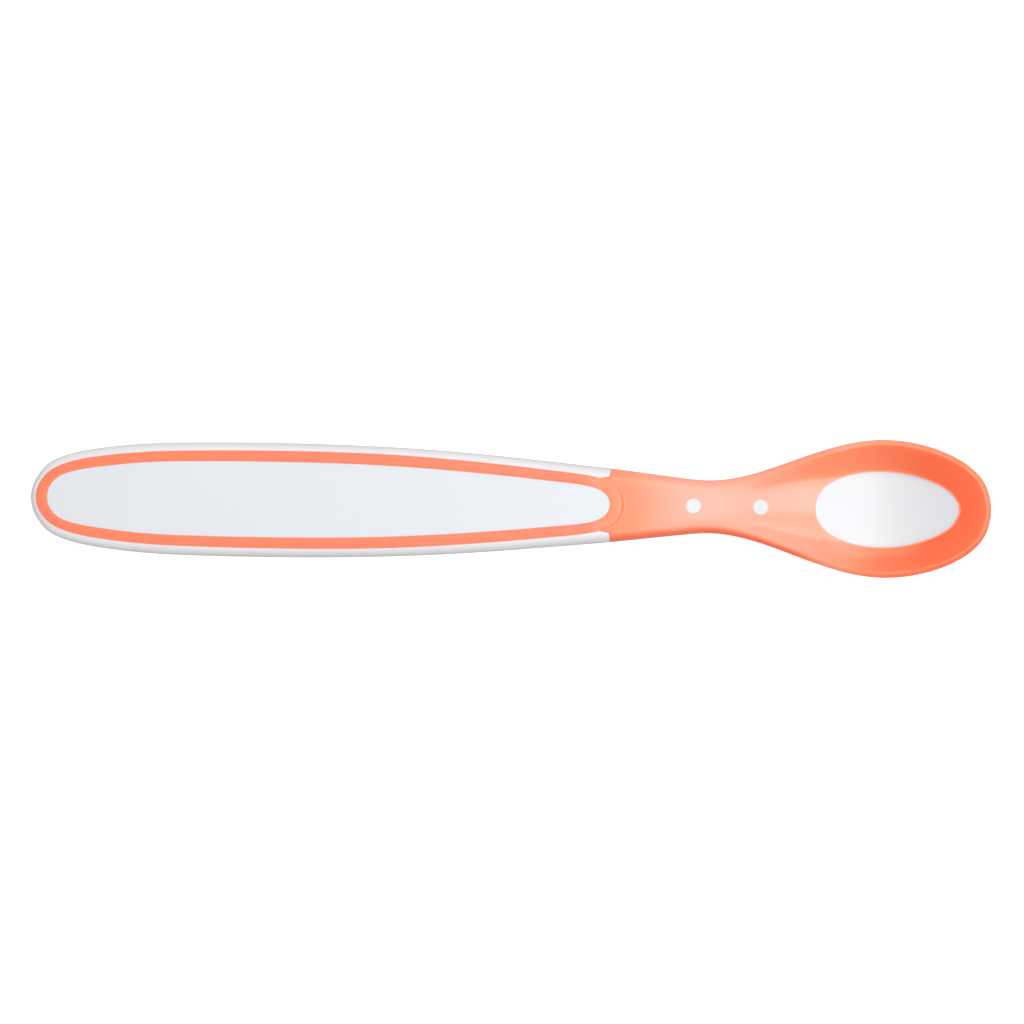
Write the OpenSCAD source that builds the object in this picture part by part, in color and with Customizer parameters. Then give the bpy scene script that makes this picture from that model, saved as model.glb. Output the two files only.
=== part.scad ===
// Soft-tipped weaning spoon: a rigid core with a hollow handle, a cover panel
// held in a soft band, and a soft skin moulded round the neck and the bowl.
// X runs from the handle's end to the bowl's tip, Z is up, the spoon lies on z = 0.

/* [Outline] */
// Length over all
spoon_l = 165; // [155:1:178]
// Greatest width of the handle
handle_w = 19.6; // [18.4:0.1:21]
// Width of the neck at its narrowest
neck_w = 9; // [8.6:0.1:10]
// Greatest width of the bowl
bowl_w = 23.8; // [22:0.1:26]

/* [Heights] */
// Height of the handle where it is thickest
handle_h = 6.8; // [6.6:0.1:7.6]
// Height of the bowl's rim above the table
rim_h = 7.4; // [7.2:0.1:8.2]
// Depth of the bowl's hollow below the rim
bowl_depth = 5.1; // [4.8:0.1:5.3]

/* [Bowl] */
// Width of the rounded land round the bowl's edge
land_w = 1.1; // [1.1:0.1:1.4]
// How softly the hollow's wall runs into its floor, as a share of the width
wall_blend = 0.06; // [0.05:0.01:0.12]

/* [Soft skin] */
// Thickness of the soft skin over the neck and bowl
skin_t = 0.65; // [0.5:0.05:0.8]
// Soft edge left outside the core's blade
skin_edge = 1.35; // [1.1:0.05:1.6]
// Diameter of the two locating pegs that show in the neck
dot_d = 2.6; // [2.2:0.1:3]
// Diameter of the holes that the soft skin flows through
lock_d = 2.4; // [1.8:0.1:2.8]

/* [Handle inside] */
// Height of the seat that the band and the panel stand on
seat_z = 4; // [3.6:0.1:4.2]
// Thickness of the tray's floor
floor_t = 1.8; // [1.5:0.1:2]
// Width of the panel's skirt and of the seat under it
skirt_w = 1.3; // [1:0.1:1.4]
// Diameter of the panel's hidden pegs
peg_d = 2.4; // [2:0.1:2.6]
// Thickness of the tray's cross ribs
rib_t = 1.2; // [1:0.1:1.6]

/* [Hidden] */

white = [0.93, 0.94, 0.96];
coral = [1.0, 0.55, 0.42];

// Every station below is a distance from the handle's end of a 165 mm spoon.
kx = spoon_l / 165;
function X(s) = (s - 82.5) * kx;

// Half widths of the outline
OUTLINE = [
    [0, 0], [1, 3.45], [2, 4.87], [3, 5.87], [5, 6.95], [8, 7.87], [12, 8.58],
    [20, 9.42], [30, 9.76], [40, 9.84], [50, 9.76], [60, 9.49], [70, 8.99],
    [80, 8.25], [90, 7.32], [100, 6.34], [106, 5.63], [112, 4.93], [117, 4.5],
    [121, 4.95], [125, 5.95], [129, 7.33], [133, 8.83], [137, 10.2], [141, 11.28],
    [145, 11.85], [149, 11.8], [153, 11.14], [157, 9.88], [160, 8.36],
    [162, 6.88], [163.5, 5.2], [165, 0]
];
// Half widths of the band's outer edge
BAND = [
    [1, 0], [2, 3], [3.2, 4.35], [5, 5.42], [8, 6.39], [12, 7.07], [20, 7.88],
    [30, 8.24], [40, 8.35], [50, 8.31], [60, 8.07], [70, 7.51], [80, 6.68],
    [90, 5.66], [95, 5.1], [97.4, 4.66], [99, 4.05], [100.4, 3.05], [101.2, 1.98],
    [101.7, 0]
];
// Half widths of the panel
PANEL = [
    [2.95, 0], [3.6, 2.2], [5, 3.55], [8, 4.64], [12, 5.27], [20, 6.14],
    [30, 6.44], [40, 6.5], [50, 6.44], [60, 6.17], [70, 5.62], [80, 4.84],
    [90, 3.87], [95, 3.34], [97.3, 2.76], [98.7, 1.9], [99.55, 0]
];
// Half widths of the window in the bowl
WINDOW = [
    [134.95, 0], [135.6, 2.4], [137, 4.03], [139, 5.15], [142, 6.2], [145.5, 6.57],
    [149, 6.4], [152.5, 5.71], [156, 4.33], [158, 3.02], [159.1, 1.6], [159.6, 0]
];
// Height of the middle of the top, handle and neck
CROWN = [
    [0, 5.35], [6, 5.75], [14, 6.2], [28, 6.65], [44, 6.8], [60, 6.75],
    [80, 6.5], [100, 6.2], [108, 6.05], [114, 5.85], [120, 5.65], [128, 5.45],
    [145, 5.3], [165, 5.3]
];
// Height of the middle of the underside
KEEL = [
    [0, 0.6], [6.5, 0.25], [12, 0.02], [18, -0.1], [50, -0.1], [78, -0.1],
    [86, 0], [94, 0.35], [102, 0.9], [110, 1.45], [117, 1.85], [122, 1.95],
    [127, 1.85], [131, 1.5], [135, 0.95], [139, 0.4], [142.5, 0.1], [146, 0],
    [149.5, 0.1], [153, 0.36], [157, 0.9], [165, 2.6]
];
// Height of the widest line, handle and neck
WAIST = [
    [0, 3.9], [8, 4.35], [20, 4.6], [40, 4.7], [80, 4.5], [92, 4.1], [100, 3.75],
    [112, 3.4], [120, 3.6], [140, 4], [165, 4]
];
// Height of the rim, as a share of its greatest height
RIM = [
    [100, 0.72], [112, 0.75], [120, 0.81], [126, 0.87], [132, 0.93],
    [138, 0.975], [145, 1], [152, 1], [158, 0.985], [165, 0.96]
];
// Height of the hollow's floor above its lowest, along the middle
FLOOR = [
    [100, 3.9], [108, 3.75], [114, 3.55], [119, 3.35], [124, 3.2], [128, 3.0],
    [131, 2.8], [134, 2.35], [137, 1.6], [140, 0.8], [143, 0.22], [146, 0],
    [149, 0.12], [152, 0.45], [155, 1.05], [158, 1.85], [165, 4.2]
];
// Where the hollow's floor turns into its wall, as a share of the width
TURN = [
    [100, 0.6], [120, 0.62], [126, 0.64], [132, 0.66], [136, 0.63], [139, 0.61],
    [142, 0.62], [146, 0.63], [149, 0.61], [152.5, 0.57], [156, 0.52],
    [160, 0.49], [165, 0.47]
];

// Smooth curve through the stations of a table
function seg(t, s, i = 0) =
    (i >= len(t) - 2 || s < t[i + 1][0]) ? i : seg(t, s, i + 1);
function gap(t, i) = t[i + 1][0] - t[i][0];
function rise(t, i) = (t[i + 1][1] - t[i][1]) / gap(t, i);
function slope(t, i) =
    i == 0 ? ((2 * gap(t, 0) + gap(t, 1)) * rise(t, 0) - gap(t, 0) * rise(t, 1)) / (gap(t, 0) + gap(t, 1)) :
    i == len(t) - 1 ? ((2 * gap(t, i - 1) + gap(t, i - 2)) * rise(t, i - 1) - gap(t, i - 1) * rise(t, i - 2)) / (gap(t, i - 1) + gap(t, i - 2)) :
    (gap(t, i) * rise(t, i - 1) + gap(t, i - 1) * rise(t, i)) / (gap(t, i - 1) + gap(t, i));
function blend(a, b, ma, mb, h, u) =
    a * (1 + 2 * u) * (1 - u) * (1 - u) + b * u * u * (3 - 2 * u)
    + h * ma * u * (1 - u) * (1 - u) - h * mb * u * u * (1 - u);
function curve(t, s) = let (i = seg(t, s), h = gap(t, i))
    blend(t[i][1], t[i + 1][1], slope(t, i), slope(t, i + 1), h, (s - t[i][0]) / h);

// The widths are drawn through their squares, so both ends close round.
function squares(t) = [for (p = t) [p[0], p[1] * p[1]]];
OUTLINE2 = squares(OUTLINE);
BAND2 = squares(BAND);
PANEL2 = squares(PANEL);
WINDOW2 = squares(WINDOW);
function half(t2, s) = sqrt(max(0, curve(t2, s)));
function smooth(a, b, s) = let (u = max(0, min(1, (s - a) / (b - a)))) u * u * u * (u * (6 * u - 15) + 10);

// Each width follows the part of the spoon that it lies in.
kh = handle_w / 19.6;
kn = neck_w / 9;
kb = bowl_w / 23.8;
function kw(s) = s < 117 ? kh + (kn - kh) * smooth(95, 117, s) : kn + (kb - kn) * smooth(117, 138, s);
function hw(s) = half(OUTLINE2, s) * kw(s);

// A rib line runs from each edge point to its foot on the middle line. The feet
// bunch up near both ends, so the lines fan out round the ends.
function foot(s) =
    s < 14.4 ? let (v = (14.4 - s) / 14.4) 14.4 - 7.9 * (1.823 * v - 0.823 * v * v) :
    s > 145 ? let (v = (s - 145) / 20) 145 + 10.7 * (1.869 * v - 0.869 * v * v) : s;

floor_z = rim_h - bowl_depth;
lip_r = 1.05;
function morph(s) = smooth(110, 136, s);
function rim_z(s) = rim_h * curve(RIM, s);
function crown_z(s) = curve(CROWN, s) * handle_h / 6.8;
function arc_drop(d, r) = d >= r ? 0 : 1 - sqrt(max(0, 1 - pow(1 - d / r, 2)));

// Height of the top and of the underside at x along a rib line of length l that
// ends at station s. The point itself lies at station p.
function top_handle(s, p, x, l) = let (r = min(1.6, 0.8 * l), c = crown_z(p), e = curve(WAIST, s), b = 0.15)
    c - b * pow(x / l, 2) - (c - b - e) * arc_drop(l - x, r);
function bend(t) = t + sqrt(t * t + wall_blend * wall_blend);
function wall(q, q0) = (bend(q - q0) - bend(-q0)) / (bend(1 - q0) - bend(-q0));
function top_bowl(s, p, x, l) = let (d = l - x, z = rim_z(s), f = floor_z + curve(FLOOR, p))
    d < lip_r ? z - lip_r + sqrt(max(0, lip_r * lip_r - pow(lip_r - d, 2))) :
    d <= land_w ? z : f + (z - f) * wall(x / (l - land_w), curve(TURN, s));
function top_z(s, p, x, l) = let (w = morph(s)) (1 - w) * top_handle(s, p, x, l) + w * top_bowl(s, p, x, l);
function under_handle(s, p, x, l) = let (r = min(3.6, 0.8 * l), k = curve(KEEL, p))
    k + (curve(WAIST, s) - k) * arc_drop(l - x, r);
function under_bowl(s, p, x, l) = let (e = rim_z(s) - lip_r, k = curve(KEEL, p))
    e - (e - k) * pow(max(0, 1 - pow(x / l, 2.1)), 0.5);
function under_z(s, p, x, l) = let (w = morph(s)) (1 - w) * under_handle(s, p, x, l) + w * under_bowl(s, p, x, l);

// Stations of the rib lines, closer together round both ends
function stations(na, nb, nc, nd) = concat(
    [for (i = [0:na - 1]) 14.4 * (1 - cos(90 * i / na))],
    [for (i = [0:nb - 1]) 14.4 + (108 - 14.4) * i / nb],
    [for (i = [0:nc - 1]) 108 + (145 - 108) * i / nc],
    [for (i = [0:nd]) 145 + 20 * sin(90 * i / nd)]);

// Points across a rib line: an even part, then a rounded edge part
function across(l, e, ni, ne) = concat(
    [for (j = [0:ni - 1]) (l - e) * j / ni],
    [for (j = [0:ne]) l - e * (1 - sin(90 * j / ne))]);

// A closed body between the top and the underside, drawn in by the skin
module rib_body(s_list, ni, ne, thin = 0, edge = 0) {
    n = len(s_list);
    rows = [for (s = s_list)
        let (m = foot(s), c = [X(s), hw(s)], o = [X(m), 0], l = norm(c - o), u = (c - o) / l,
             e = min(0.45 * l, 1.7 - 0.6 * morph(s)),
             xs = across(l - edge, edge > 0 ? e / 2 : e, ni, ne),
             k = len(xs) - 1,
             at = [for (x = xs) [o[0] + u[0] * x, u[1] * x]],
             up = [for (x = xs) top_z(s, m + (s - m) * x / l, x, l) - thin],
             dn = [for (x = xs) under_z(s, m + (s - m) * x / l, x, l) + thin],
             q = edge > 0 ? k : k - 1)
        concat(
            [for (j = [k:-1:0]) [at[j][0], at[j][1], up[j]]],
            [for (j = [1:k]) [at[j][0], -at[j][1], up[j]]],
            [for (j = [q:-1:0]) [at[j][0], -at[j][1], dn[j]]],
            [for (j = [1:q]) [at[j][0], at[j][1], dn[j]]]
        )];
    w = len(rows[0]);
    pts = [for (r = rows) each r];
    quads = [for (i = [0:n - 2], j = [0:w - 1]) let (a = i * w + j, b = i * w + (j + 1) % w)
        [[a, b + w, b], [a, a + w, b + w]]];
    caps = s_list[0] > 0 ? [[for (j = [0:w - 1]) j]] : [];
    polyhedron(pts, concat([for (q = quads) each q], caps), convexity = 6);
}

// Flat outline of a table, closed round both ends
module flat(t2, n = 40, k = 1) {
    a = t2[0][0];
    b = t2[len(t2) - 1][0];
    up = [for (i = [0:n]) let (s = a + (b - a) * (1 - cos(180 * i / n)) / 2) [X(s), k * half(t2, s)]];
    polygon(concat([for (p = up) [p[0], -p[1]]], [for (i = [n - 1:-1:1]) up[i]]));
}

module spoon_shape() rib_body(stations(8, 15, 18, 9), 6, 4);
module insert_shape() rib_body([for (s = stations(8, 15, 18, 9)) if (s > 92) s], 6, 1, skin_t, skin_edge);

module x_slab(a, b, w = 60, z0 = -5, z1 = 15) translate([a, -w / 2, z0]) cube([b - a, w, z1 - z0]);

rim_end = 99.7;
ear_w = 9.5;
// The channel's straight end, where the white rim stops square
module ears(z0 = seat_z) x_slab(X(96.4), X(rim_end) + 0.01, ear_w * kh, z0);
module band_well(z0 = seat_z) translate([0, 0, z0]) linear_extrude(12) flat(BAND2, 40, kh);
module panel_well(z0 = seat_z) translate([0, 0, z0]) linear_extrude(12) flat(PANEL2, 40, kh);
module cavity(z0, z1) translate([0, 0, z0]) linear_extrude(z1 - z0) offset(delta = -skirt_w) flat(PANEL2, 40, kh);

// The pegs and the window stand through the soft skin, flush with it
module dots() for (s = [113.9, 125.5]) translate([X(s), 0, -2]) cylinder(h = 14, d = dot_d, $fn = 32);
module window() translate([0, 0, -2]) linear_extrude(14) flat(WINDOW2, 24, kb);

// The tang and the blade, pierced where the soft skin locks through them
module insert() difference() {
    insert_shape();
    for (s = [107, 131]) translate([X(s), 0, -2]) cylinder(h = 14, d = lock_d, $fn = 24);
}

peg_s = [22, 56, 86];
rib_s = [12, 34, 45, 68, 77];

module core_body() difference() {
    union() {
        intersection() {
            spoon_shape();
            x_slab(-120, X(rim_end));
        }
        insert();
        intersection() {
            spoon_shape();
            union() {
                dots();
                window();
            }
        }
    }
    band_well();
    ears();
    difference() {
        cavity(floor_t, 12);
        for (s = rib_s) x_slab(X(s) - rib_t / 2, X(s) + rib_t / 2, 40, 0, seat_z - 0.1);
        for (s = peg_s) translate([X(s), 0, 0]) cylinder(h = seat_z + 0.8, d = peg_d + 2.8, $fn = 32);
    }
}

module handle_core() color(white) difference() {
    resize([0, 0, 0]) core_body();
    x_slab(-120, 20, 60, -3, 0);
    for (s = peg_s) translate([X(s), 0, floor_t + 0.4]) cylinder(h = 8, d = peg_d + 0.1, $fn = 48);
}

module handle_panel() color(white) union() {
    resize([0, 0, 0]) difference() {
        intersection() {
            spoon_shape();
            panel_well();
        }
        cavity(seat_z - 1, seat_z + 1);
    }
    for (s = peg_s) translate([X(s), 0, floor_t + 0.8]) cylinder(h = seat_z + 1.4 - floor_t - 0.8, d = peg_d, $fn = 48);
}

module grip_band() color(coral) resize([0, 0, 0]) difference() {
    intersection() {
        spoon_shape();
        band_well();
    }
    panel_well(seat_z - 1);
}

module soft_bowl() color(coral) resize([0, 0, 0]) difference() {
    intersection() {
        spoon_shape();
        union() {
            x_slab(X(rim_end), 120);
            ears();
        }
    }
    insert();
    dots();
    window();
    band_well();
}

handle_core();
handle_panel();
grip_band();
soft_bowl();
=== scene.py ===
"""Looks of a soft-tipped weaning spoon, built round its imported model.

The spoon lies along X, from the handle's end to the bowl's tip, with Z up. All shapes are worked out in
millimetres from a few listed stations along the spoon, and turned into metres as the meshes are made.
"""

import math

import bpy
import numpy as np
from mathutils import Matrix, Vector


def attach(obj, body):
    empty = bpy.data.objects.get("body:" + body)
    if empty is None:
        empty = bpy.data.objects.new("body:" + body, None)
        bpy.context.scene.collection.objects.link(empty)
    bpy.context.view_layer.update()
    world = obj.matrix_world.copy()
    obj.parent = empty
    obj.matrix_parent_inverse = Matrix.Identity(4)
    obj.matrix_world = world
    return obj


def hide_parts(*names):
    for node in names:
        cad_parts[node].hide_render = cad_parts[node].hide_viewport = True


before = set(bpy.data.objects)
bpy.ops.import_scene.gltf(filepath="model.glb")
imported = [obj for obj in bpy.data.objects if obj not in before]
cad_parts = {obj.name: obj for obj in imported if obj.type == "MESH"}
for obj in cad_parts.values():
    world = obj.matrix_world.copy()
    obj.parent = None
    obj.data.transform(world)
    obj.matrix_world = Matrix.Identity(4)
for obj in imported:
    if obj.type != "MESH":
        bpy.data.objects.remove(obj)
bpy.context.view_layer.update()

# ---------------------------------------------------------------- stations
# [distance from the handle's end of the spoon, value], both in millimetres

OUTLINE = [
    [0, 0], [1, 3.45], [2, 4.87], [3, 5.87], [5, 6.95], [8, 7.87], [12, 8.58],
    [20, 9.42], [30, 9.76], [40, 9.84], [50, 9.76], [60, 9.49], [70, 8.99],
    [80, 8.25], [90, 7.32], [100, 6.34], [106, 5.63], [112, 4.93], [117, 4.5],
    [121, 4.95], [125, 5.95], [129, 7.33], [133, 8.83], [137, 10.2], [141, 11.28],
    [145, 11.85], [149, 11.8], [153, 11.14], [157, 9.88], [160, 8.36],
    [162, 6.88], [163.5, 5.2], [165, 0],
]
BAND = [
    [1, 0], [2, 3], [3.2, 4.35], [5, 5.42], [8, 6.39], [12, 7.07], [20, 7.88],
    [30, 8.24], [40, 8.35], [50, 8.31], [60, 8.07], [70, 7.51], [80, 6.68],
    [90, 5.66], [95, 5.1], [97.4, 4.66], [99, 4.05], [100.4, 3.05], [101.2, 1.98],
    [101.7, 0],
]
PANEL = [
    [2.95, 0], [3.6, 2.2], [5, 3.55], [8, 4.64], [12, 5.27], [20, 6.14],
    [30, 6.44], [40, 6.5], [50, 6.44], [60, 6.17], [70, 5.62], [80, 4.84],
    [90, 3.87], [95, 3.34], [97.3, 2.76], [98.7, 1.9], [99.55, 0],
]
WINDOW = [
    [134.95, 0], [135.6, 2.4], [137, 4.03], [139, 5.15], [142, 6.2], [145.5, 6.57],
    [149, 6.4], [152.5, 5.71], [156, 4.33], [158, 3.02], [159.1, 1.6], [159.6, 0],
]
CROWN = [
    [0, 5.35], [6, 5.75], [14, 6.2], [28, 6.65], [44, 6.8], [60, 6.75],
    [80, 6.5], [100, 6.2], [108, 6.05], [114, 5.85], [120, 5.65], [128, 5.45],
    [145, 5.3], [165, 5.3],
]
KEEL = [
    [0, 0.6], [6.5, 0.25], [12, 0.02], [18, -0.1], [50, -0.1], [78, -0.1],
    [86, 0], [94, 0.35], [102, 0.9], [110, 1.45], [117, 1.85], [122, 1.95],
    [127, 1.85], [131, 1.5], [135, 0.95], [139, 0.4], [142.5, 0.1], [146, 0],
    [149.5, 0.1], [153, 0.36], [157, 0.9], [165, 2.6],
]
WAIST = [
    [0, 3.9], [8, 4.35], [20, 4.6], [40, 4.7], [80, 4.5], [92, 4.1], [100, 3.75],
    [112, 3.4], [120, 3.6], [140, 4], [165, 4],
]
RIM = [
    [100, 0.72], [112, 0.75], [120, 0.81], [126, 0.87], [132, 0.93],
    [138, 0.975], [145, 1], [152, 1], [158, 0.985], [165, 0.96],
]
FLOOR = [
    [100, 3.9], [108, 3.75], [114, 3.55], [119, 3.35], [124, 3.2], [128, 3.0],
    [131, 2.8], [134, 2.35], [137, 1.6], [140, 0.8], [143, 0.22], [146, 0],
    [149, 0.12], [152, 0.45], [155, 1.05], [158, 1.85], [165, 4.2],
]
TURN = [
    [100, 0.6], [120, 0.62], [126, 0.64], [132, 0.66], [136, 0.63], [139, 0.61],
    [142, 0.62], [146, 0.63], [149, 0.61], [152.5, 0.57], [156, 0.52],
    [160, 0.49], [165, 0.47],
]
RIM_H, BOWL_DEPTH, LAND, WALL_BLEND, LIP_R = 7.4, 5.1, 1.1, 0.06, 1.05
SKIN_T, SKIN_EDGE, SEAT_Z, RIM_END = 0.65, 1.35, 4.0, 99.7
DOTS, DOT_R = (113.9, 125.5), 1.3
WINDOW_ENDS = (WINDOW[0][0], WINDOW[-1][0])
PANEL_ENDS = (PANEL[0][0], PANEL[-1][0])

GRID = np.arange(-8, 173.001, 0.05)


def through(stations, line_ends):
    """A smooth curve through the stations, on GRID. Past its ends it runs on straight, or level."""
    t = np.array(stations, float)
    x, y = t[:, 0], t[:, 1]
    h, d = np.diff(x), np.diff(y) / np.diff(x)
    m = np.empty(len(x))
    m[1:-1] = (h[1:] * d[:-1] + h[:-1] * d[1:]) / (h[:-1] + h[1:])
    m[0] = ((2 * h[0] + h[1]) * d[0] - h[0] * d[1]) / (h[0] + h[1])
    m[-1] = ((2 * h[-1] + h[-2]) * d[-1] - h[-1] * d[-2]) / (h[-1] + h[-2])
    i = np.clip(np.searchsorted(x, GRID, "right") - 1, 0, len(h) - 1)
    u = np.clip((GRID - x[i]) / h[i], 0, 1)
    v = (
        y[i] * (1 + 2 * u) * (1 - u) ** 2
        + y[i + 1] * u * u * (3 - 2 * u)
        + h[i] * m[i] * u * (1 - u) ** 2
        - h[i] * m[i + 1] * u * u * (1 - u)
    )
    if line_ends:
        v = np.where(GRID < x[0], y[0] + m[0] * (GRID - x[0]), v)
        v = np.where(GRID > x[-1], y[-1] + m[-1] * (GRID - x[-1]), v)
    return v


def soften(v, sigma):
    k = np.arange(-int(4 * sigma / 0.05), int(4 * sigma / 0.05) + 1) * 0.05
    w = np.exp(-0.5 * (k / sigma) ** 2)
    pad = len(k) // 2
    long = np.concatenate([np.full(pad, v[0]), v, np.full(pad, v[-1])])
    return np.convolve(long, w / w.sum(), "valid")


def ease(a, b, s):
    u = np.clip((np.asarray(s, float) - a) / (b - a), 0, 1)
    return u * u * u * (u * (6 * u - 15) + 10)


def closed_width(stations, sigma=1.6):
    """Half width as a function of station. It's drawn through its squares, so both ends close round."""
    t = [[s, w * w] for s, w in stations]
    raw = through(t, True)
    a, b = t[0][0], t[-1][0]
    span = b - a
    reach = min(9.0, 0.3 * span)
    w = ease(a, a + reach, GRID) * (1 - ease(b - reach, b, GRID))
    q = w * soften(raw, min(sigma, 0.06 * span)) + (1 - w) * raw
    return lambda s: np.sqrt(np.maximum(0, np.interp(s, GRID, q)))


def height(stations, sigma=1.5):
    v = soften(through(stations, False), sigma)
    return lambda s: np.interp(s, GRID, v)


outline_half = closed_width(OUTLINE)
band_half = closed_width(BAND)
panel_half = closed_width(PANEL)
window_half = closed_width(WINDOW)
crown, keel, waist = height(CROWN), height(KEEL), height(WAIST)
rim_share, floor_up, turn_at = height(RIM), height(FLOOR, 1.2), height(TURN)


def half(s):
    """Half width of the spoon, no wider than its greatest station."""
    return np.minimum(outline_half(s), 11.849)


def foot(s):
    """Where the rib line of station s meets the middle line. The feet bunch up near both ends."""
    s = np.asarray(s, float)
    v = np.clip((14.4 - s) / 14.4, 0, 1)
    w = np.clip((s - 145) / 20, 0, 1)
    left = 14.4 - 7.9 * (1.823 * v - 0.823 * v * v)
    right = 145 + 10.7 * (1.869 * w - 0.869 * w * w)
    return np.where(s < 14.4, left, np.where(s > 145, right, s))


def reach(s):
    return np.hypot(s - foot(s), half(s))


def find_rib(p, y):
    """The rib line through the point (p, y), and how far along it the point lies."""
    p, y = np.broadcast_arrays(np.asarray(p, float), np.abs(np.asarray(y, float)))
    lo, hi = np.zeros(p.shape), np.full(p.shape, 165.0)
    for _ in range(44):
        s = (lo + hi) / 2
        m = foot(s)
        left = (s - m) * y - half(s) * (p - m) > 0
        hi = np.where(left, s, hi)
        lo = np.where(left, lo, s)
    s = (lo + hi) / 2
    return s, np.hypot(p - foot(s), y), reach(s)


def drop(d, r):
    return 1 - np.sqrt(np.maximum(0, 1 - np.clip(1 - d / r, 0, 1) ** 2))


def bend(t):
    return t + np.sqrt(t * t + WALL_BLEND**2)


def top_at(p, y):
    """Height of the outer skin's top."""
    s, x, l = find_rib(p, y)
    x = np.minimum(x, l)
    d = l - x
    b = 0.15
    r = np.minimum(1.6, 0.8 * l)
    c, e = crown(p), waist(s)
    handle = c - b * (x / l) ** 2 - (c - b - e) * drop(d, r)
    z = RIM_H * rim_share(s)
    f = RIM_H - BOWL_DEPTH + floor_up(p)
    lip = z - LIP_R + np.sqrt(np.maximum(0, LIP_R**2 - np.clip(LIP_R - d, 0, None) ** 2))
    u = d - LAND
    v = (u + np.sqrt(u * u + 0.06 + 0.14 * ease(-0.6, 0.6, u))) / 2
    share = np.clip(1 - v / (l - LAND), 0, 1)
    q0 = turn_at(s)
    wall = (bend(share - q0) - bend(-q0)) / (bend(1 - q0) - bend(-q0))
    bowl = lip - (z - f) * (1 - wall)
    w = ease(110, 136, s)
    return (1 - w) * handle + w * bowl


def under_at(p, y):
    """Height of the outer skin's underside."""
    s, x, l = find_rib(p, y)
    x = np.minimum(x, l)
    k = keel(p)
    r = np.minimum(3.6, 0.8 * l)
    handle = k + (waist(s) - k) * drop(l - x, r)
    e = RIM_H * rim_share(s) - LIP_R
    bowl = e - (e - k) * np.sqrt(np.maximum(0, 1 - (x / l) ** 2.1))
    w = ease(110, 136, s)
    return np.maximum((1 - w) * handle + w * bowl, 0)


def edge_z(s):
    """Height of the widest line."""
    w = ease(110, 136, s)
    return (1 - w) * waist(s) + w * (RIM_H * rim_share(s) - LIP_R)


# ---------------------------------------------------------------- seams


def outline_points(f, a, b, n=500):
    t = (1 - np.cos(np.linspace(0, math.pi, n))) / 2
    s = a + (b - a) * t
    w = f(s)
    return np.concatenate([np.stack([s, w], 1), np.stack([s[::-1], -w[::-1]], 1)])


def end_shift(y):
    """How far the white rim's end lies back from its outer corner: it slants, turns a small round
    corner, and then follows the rim's inner edge back to the band."""
    y = np.abs(y)
    w = half(RIM_END)
    slant = 0.26 * np.clip((w - y) / (w - 4.72), 0, 1)
    u = np.clip((5.1 - y) / 0.38, 0, 1)
    corner = 0.38 * (1 - np.sqrt(np.maximum(0, 1 - np.minimum(u, 0.985) ** 2)))
    return slant + corner + 1.2 * np.clip((4.74 - y) / 0.14, 0, 1)


circle = np.linspace(0, 2 * math.pi, 160)
rim_y = np.concatenate([np.linspace(4.5, 4.8, 60), np.linspace(4.81, half(RIM_END) + 0.02, 80)])
SEAMS = {
    "window": outline_points(window_half, *WINDOW_ENDS),
    "dots": np.concatenate(
        [np.stack([c + DOT_R * np.cos(circle), DOT_R * np.sin(circle)], 1) for c in DOTS]
    ),
    "band": outline_points(band_half, 1, 101.7, 1600),
    "panel": outline_points(panel_half, *PANEL_ENDS, 1600),
    "rim_end": np.concatenate(
        [np.stack([RIM_END - end_shift(rim_y), k * rim_y], 1) for k in (1, -1)]
    ),
}


def seam_gap(p, y, names, far=1.0):
    """Distance in the plan from each point to the nearest of these seams, up to far."""
    shape = np.shape(p)
    pts = np.stack([np.ravel(p), np.ravel(y)], 1)
    best = np.full(len(pts), far)
    for name in names:
        line = SEAMS[name]
        a, b = line[:-1], line[1:]
        if name in ("dots", "rim_end"):
            keep = np.hypot(*(b - a).T) < 0.5
            a, b = a[keep], b[keep]
        ab = b - a
        size = np.maximum((ab**2).sum(1), 1e-12)
        low, high = line.min(0) - far, line.max(0) + far
        near = np.nonzero(((pts > low) & (pts < high)).all(1))[0]
        for i in range(0, len(near), 2000):
            q = pts[near[i : i + 2000]]
            lo, hi = q.min(0) - far, q.max(0) + far
            some = ((a < hi) & (a > lo)).all(1)
            if not some.any():
                continue
            aa, bb, ss = a[some], ab[some], size[some]
            t = np.clip((((q[:, None] - aa[None]) * bb[None]).sum(2)) / ss[None], 0, 1)
            d = np.hypot(*np.moveaxis(q[:, None] - aa[None] - t[..., None] * bb[None], 2, 0)).min(1)
            best[near[i : i + 2000]] = np.minimum(best[near[i : i + 2000]], d)
    return best.reshape(shape)


BEVEL, SMALL, FINE = 0.09, 0.06, 0.04


def crease(p, y):
    """How deep the seam round the band's right end is. The skin runs on flush at +Y, as one surface."""
    late = ease(95.5, 98, p)
    return 1 - late * ease(0.6, 2.6, y)


def lip_line(p, y, d):
    """A hair-wide raised line just outside the band's right end."""
    side = ease(97.5, 100.5, p) * ease(-4.2, -2.2, y) * (1 - ease(0.6, 2.2, y))
    return 0.065 * side * np.exp(-(((d - 0.3) / 0.13) ** 2))


def bevel(d, r=BEVEL):
    d = np.clip(d, 0, r)
    return r - np.sqrt(np.maximum(0, r * r - (r - d) ** 2))


# ---------------------------------------------------------------- mesh making


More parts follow.
